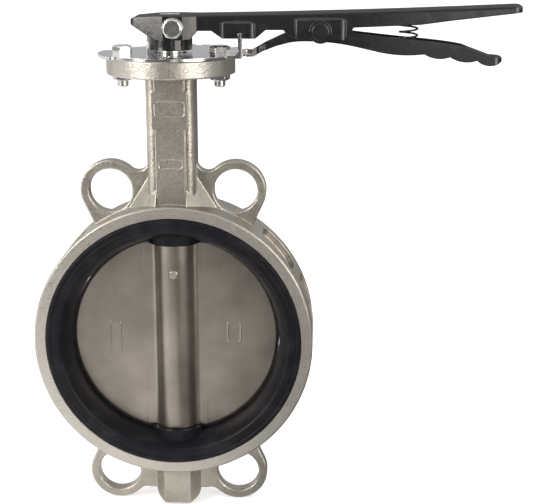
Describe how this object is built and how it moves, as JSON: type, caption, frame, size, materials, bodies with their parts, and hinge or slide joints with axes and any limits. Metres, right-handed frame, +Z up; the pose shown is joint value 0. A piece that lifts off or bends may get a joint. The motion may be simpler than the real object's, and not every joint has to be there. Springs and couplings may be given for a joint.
{
  "type": "butterfly valve",
  "caption": "Wafer butterfly valve with a long neck, rubber seat, disc on a central stem and a notch-locking hand lever with squeeze trigger.",
  "frame": {"origin": "centre of the waterway, where the stem's axis crosses the pipe's axis, midway between the two sealing faces", "axes": "+Y along the pipe towards the rear face, +Z up the stem to the lever, +X the way the lever points with the disc shut"},
  "size_m": [0.3515, 0.1077, 0.3782],
  "materials": {
    "body_steel": "cast stainless steel, bead-blasted satin, its faces machined",
    "seat_rubber": "smooth black EPDM rubber",
    "disc_steel": "satin cast stainless steel, edge polished",
    "stem_steel": "ground stainless steel",
    "bush_bronze": "plain bronze bearing metal",
    "spring_steel": "oiled spring steel, dark",
    "plate_zinc": "bright zinc plate",
    "fastener_zinc": "bright zinc-plated steel",
    "lever_black": "glossy black coating on cast iron"
  },
  "bodies": {
    "valve_body": {"valve_body": "body_steel", "seat_liner": "seat_rubber", "lower_bush": "bush_bronze", "middle_bush": "bush_bronze", "upper_bush": "bush_bronze", "stem_seal_rings": "seat_rubber", "circlip": "spring_steel", "notch_plate": "plate_zinc", "plate_bolts": "fastener_zinc", "plate_washers": "fastener_zinc", "plate_nuts": "fastener_zinc"},
    "lever_and_disc": {"stem": "stem_steel", "disc": "disc_steel", "disc_pin": "stem_steel", "stem_retainer": "spring_steel", "handle": "lever_black", "set_bolt": "fastener_zinc", "set_bolt_washer": "fastener_zinc", "trigger_pin": "lever_black", "trigger_pin_clip": "spring_steel", "trigger_spring": "spring_steel"},
    "trigger": {"trigger": "lever_black"}
  },
  "joints": [
    {"name": "stem_turn", "type": "hinge", "parent": "valve_body", "child": "lever_and_disc", "pos_m": [0, 0, 0], "axis": [0, 0, 1], "range_deg": [0, 90]},
    {"name": "trigger_squeeze", "type": "hinge", "parent": "lever_and_disc", "child": "trigger", "pos_m": [0.107, 0, 0.2267], "axis": [0, -1, 0], "range_deg": [0, 7.5], "stiffness_Nm_per_rad": 12, "springref_deg": -6.88, "deforming": ["trigger_spring"]}
  ]
}
